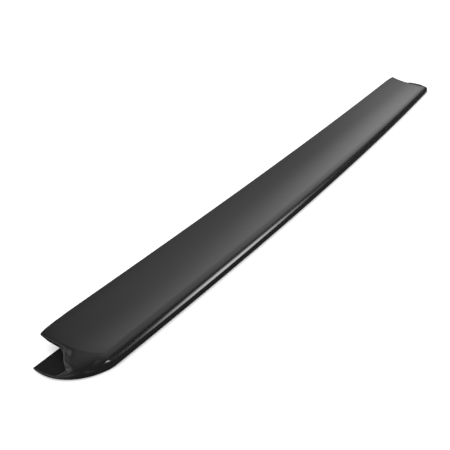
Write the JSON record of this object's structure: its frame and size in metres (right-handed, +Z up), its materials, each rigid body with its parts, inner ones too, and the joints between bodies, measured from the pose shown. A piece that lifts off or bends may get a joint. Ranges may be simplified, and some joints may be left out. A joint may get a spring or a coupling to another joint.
{
  "type": "spoiler extension",
  "caption": "Long slim slip-over trailing-edge extension for a rear spoiler, open along the front, with rolled slots in its flared ends.",
  "frame": {"origin": "middle of the length and of the depth, on the plane of the flat underside", "axes": "+X along the length, +Y towards the open front that slips over the spoiler, +Z up"},
  "size_m": [1.2442, 0.1124, 0.027],
  "materials": {
    "black_moulding": "as-moulded black plastic with a soft gloss"
  },
  "bodies": {
    "root": {"spoiler_shell": "black_moulding"}
  },
  "joints": []
}
